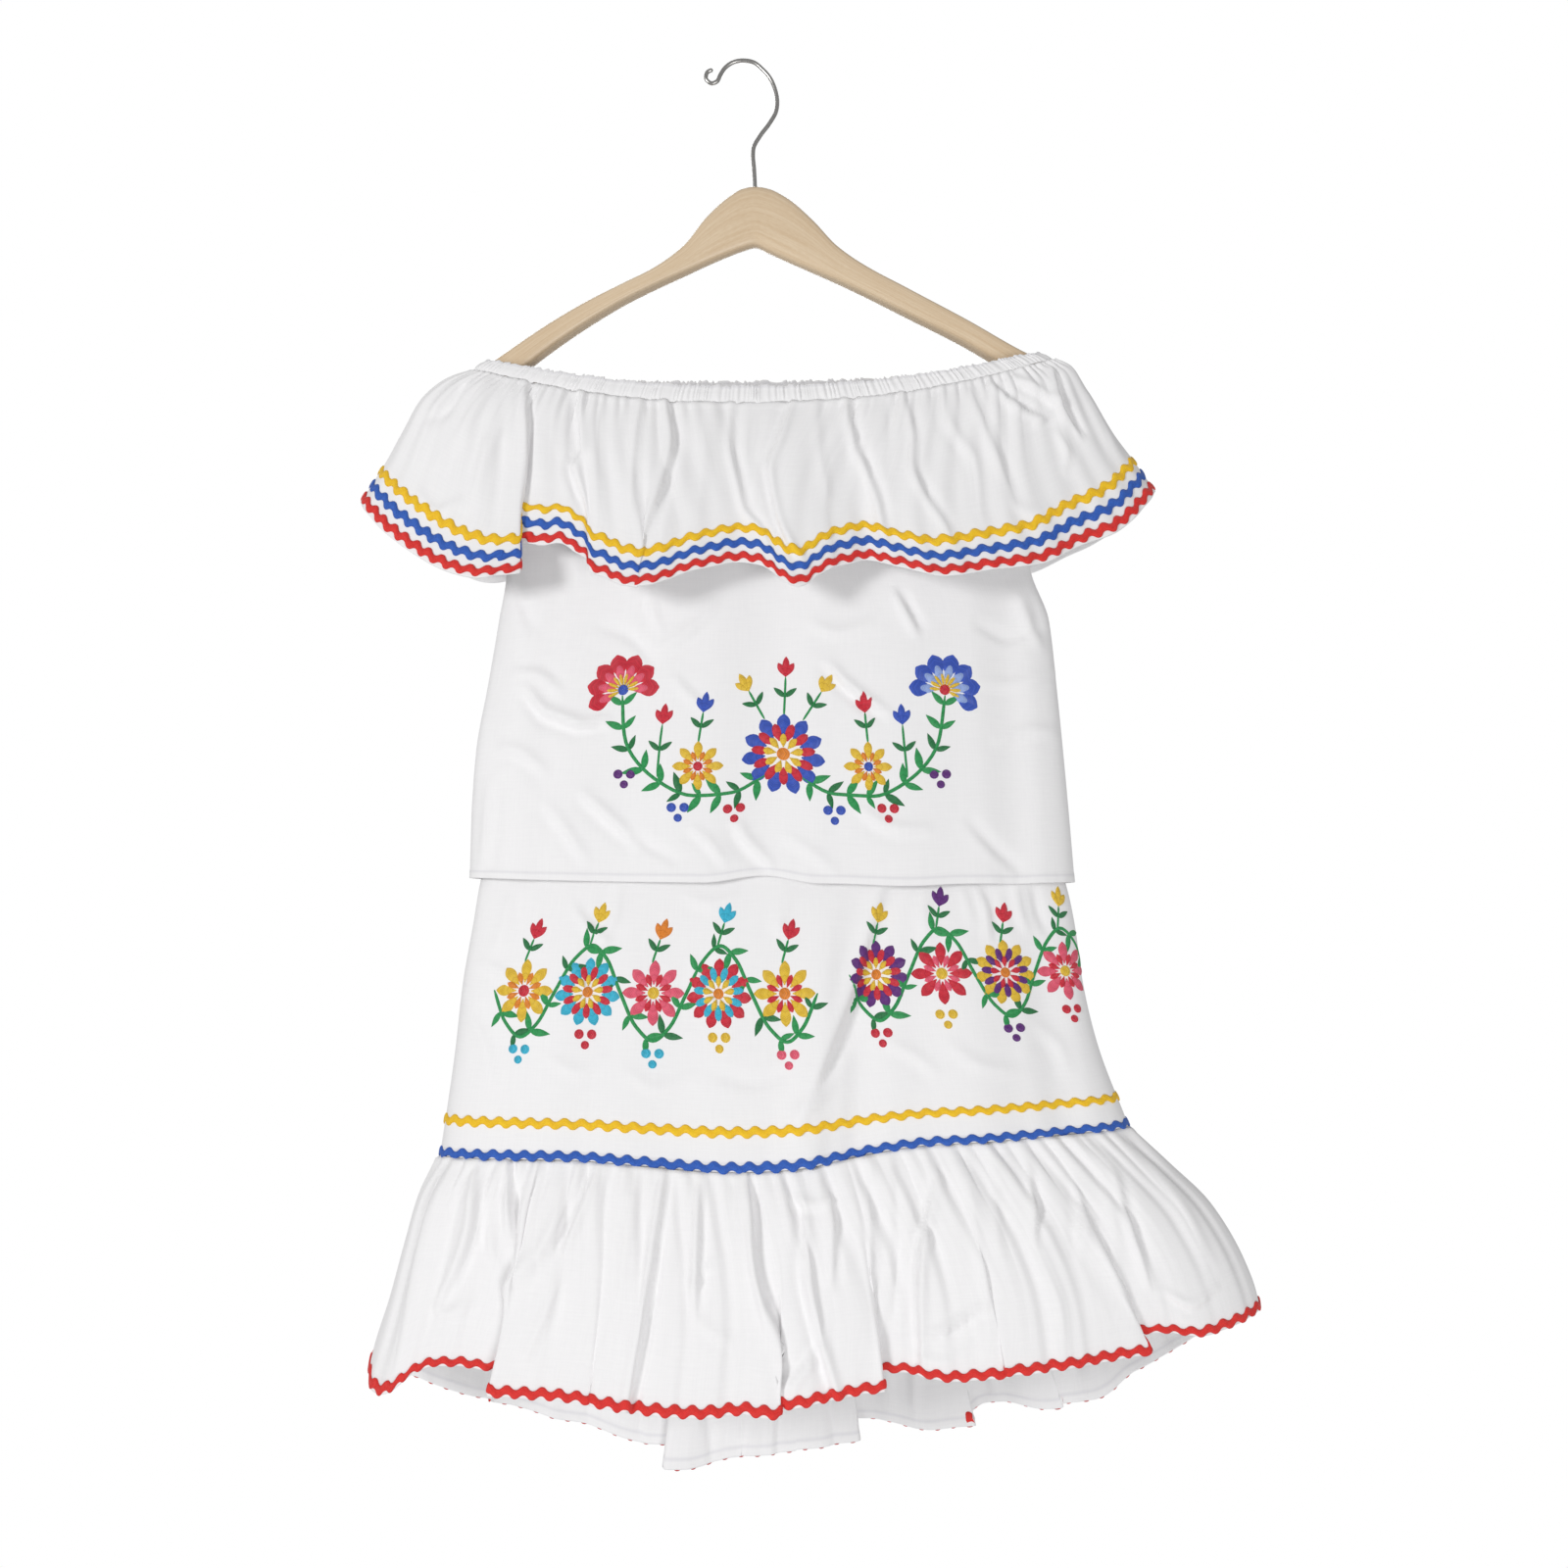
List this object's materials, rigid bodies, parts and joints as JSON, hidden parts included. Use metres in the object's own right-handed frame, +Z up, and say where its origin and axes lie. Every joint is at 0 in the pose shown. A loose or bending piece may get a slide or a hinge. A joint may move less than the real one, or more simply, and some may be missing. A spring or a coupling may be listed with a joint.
{
  "type": "embroidered skirt set on a wooden hanger",
  "caption": "White cotton off-the-shoulder flounced blouse and gathered-hem skirt, embroidered and trimmed with ric-rac, on a wooden hanger.",
  "frame": {"origin": "inside of the crest of the hanger's hook, where a nail or rail bears", "axes": "+X to the right seen from the front, +Y from front to back, +Z up; the front faces -Y"},
  "size_m": [0.6186, 0.136, 0.9993],
  "materials": {
    "cotton": "plain white cotton, matt",
    "ricrac_yellow": "woven ric-rac, golden yellow",
    "ricrac_blue": "woven ric-rac, medium blue",
    "ricrac_red": "woven ric-rac, red",
    "hanger_wood": "pale varnished wood",
    "hook_wire": "dull nickel wire"
  },
  "bodies": {
    "root": {"hanger_wood": "hanger_wood", "hanger_hook": "hook_wire", "blouse_casing": "cotton", "blouse_front": "cotton", "blouse_back": "cotton", "blouse_flounce_front": "cotton", "blouse_flounce_back": "cotton", "blouse_ricrac_yellow": "ricrac_yellow", "blouse_ricrac_blue": "ricrac_blue", "blouse_ricrac_red": "ricrac_red", "skirt_waistband": "cotton", "skirt_front": "cotton", "skirt_back": "cotton", "skirt_ricrac_yellow": "ricrac_yellow", "skirt_ricrac_blue": "ricrac_blue", "skirt_flounce_front": "cotton", "skirt_flounce_back": "cotton", "skirt_ricrac_red": "ricrac_red", "skirt_loop_left": "cotton", "skirt_loop_right": "cotton"}
  },
  "joints": []
}
